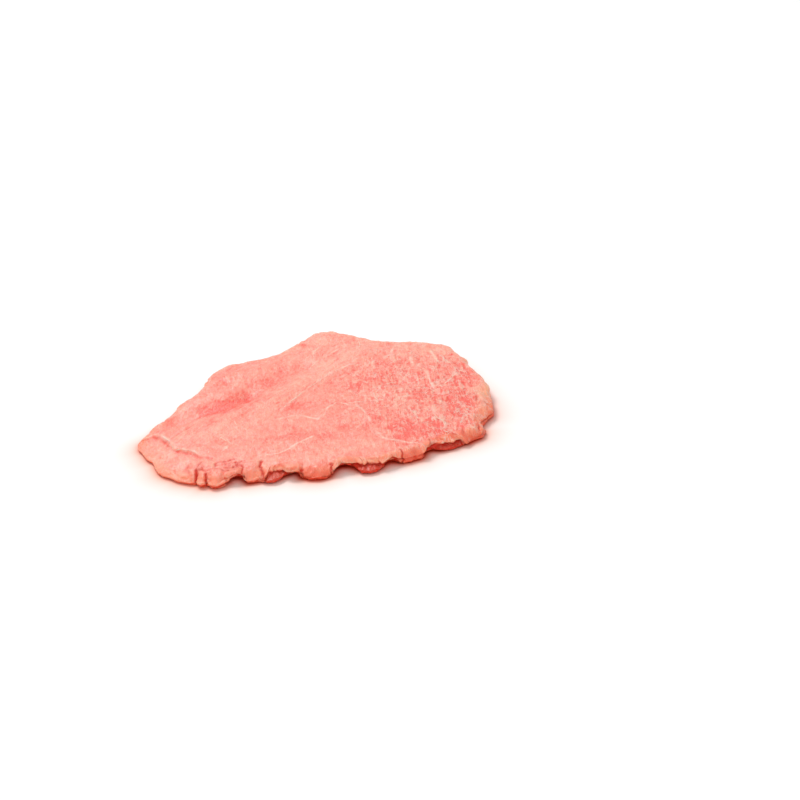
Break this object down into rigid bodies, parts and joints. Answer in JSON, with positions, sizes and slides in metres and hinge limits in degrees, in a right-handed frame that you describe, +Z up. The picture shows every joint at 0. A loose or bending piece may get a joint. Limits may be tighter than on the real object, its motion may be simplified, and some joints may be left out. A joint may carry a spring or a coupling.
{
  "type": "raw pork schnitzel",
  "caption": "Raw pork schnitzel: a thin boneless slice beaten flat, with a torn, scalloped front edge and a thicker rounded rear.",
  "frame": {"origin": "middle of the slice's outline in plan, on the surface that it lies on", "axes": "+Z up; +X towards the folded end, away from the rounded end; -Y towards the torn front edge, +Y towards the thick rear corner"},
  "size_m": [0.1738, 0.1526, 0.0118],
  "materials": {
    "flesh": "moist raw pork, pale pink with whitish threads, softly glossy"
  },
  "bodies": {
    "root": {"schnitzel": "flesh"}
  },
  "joints": []
}
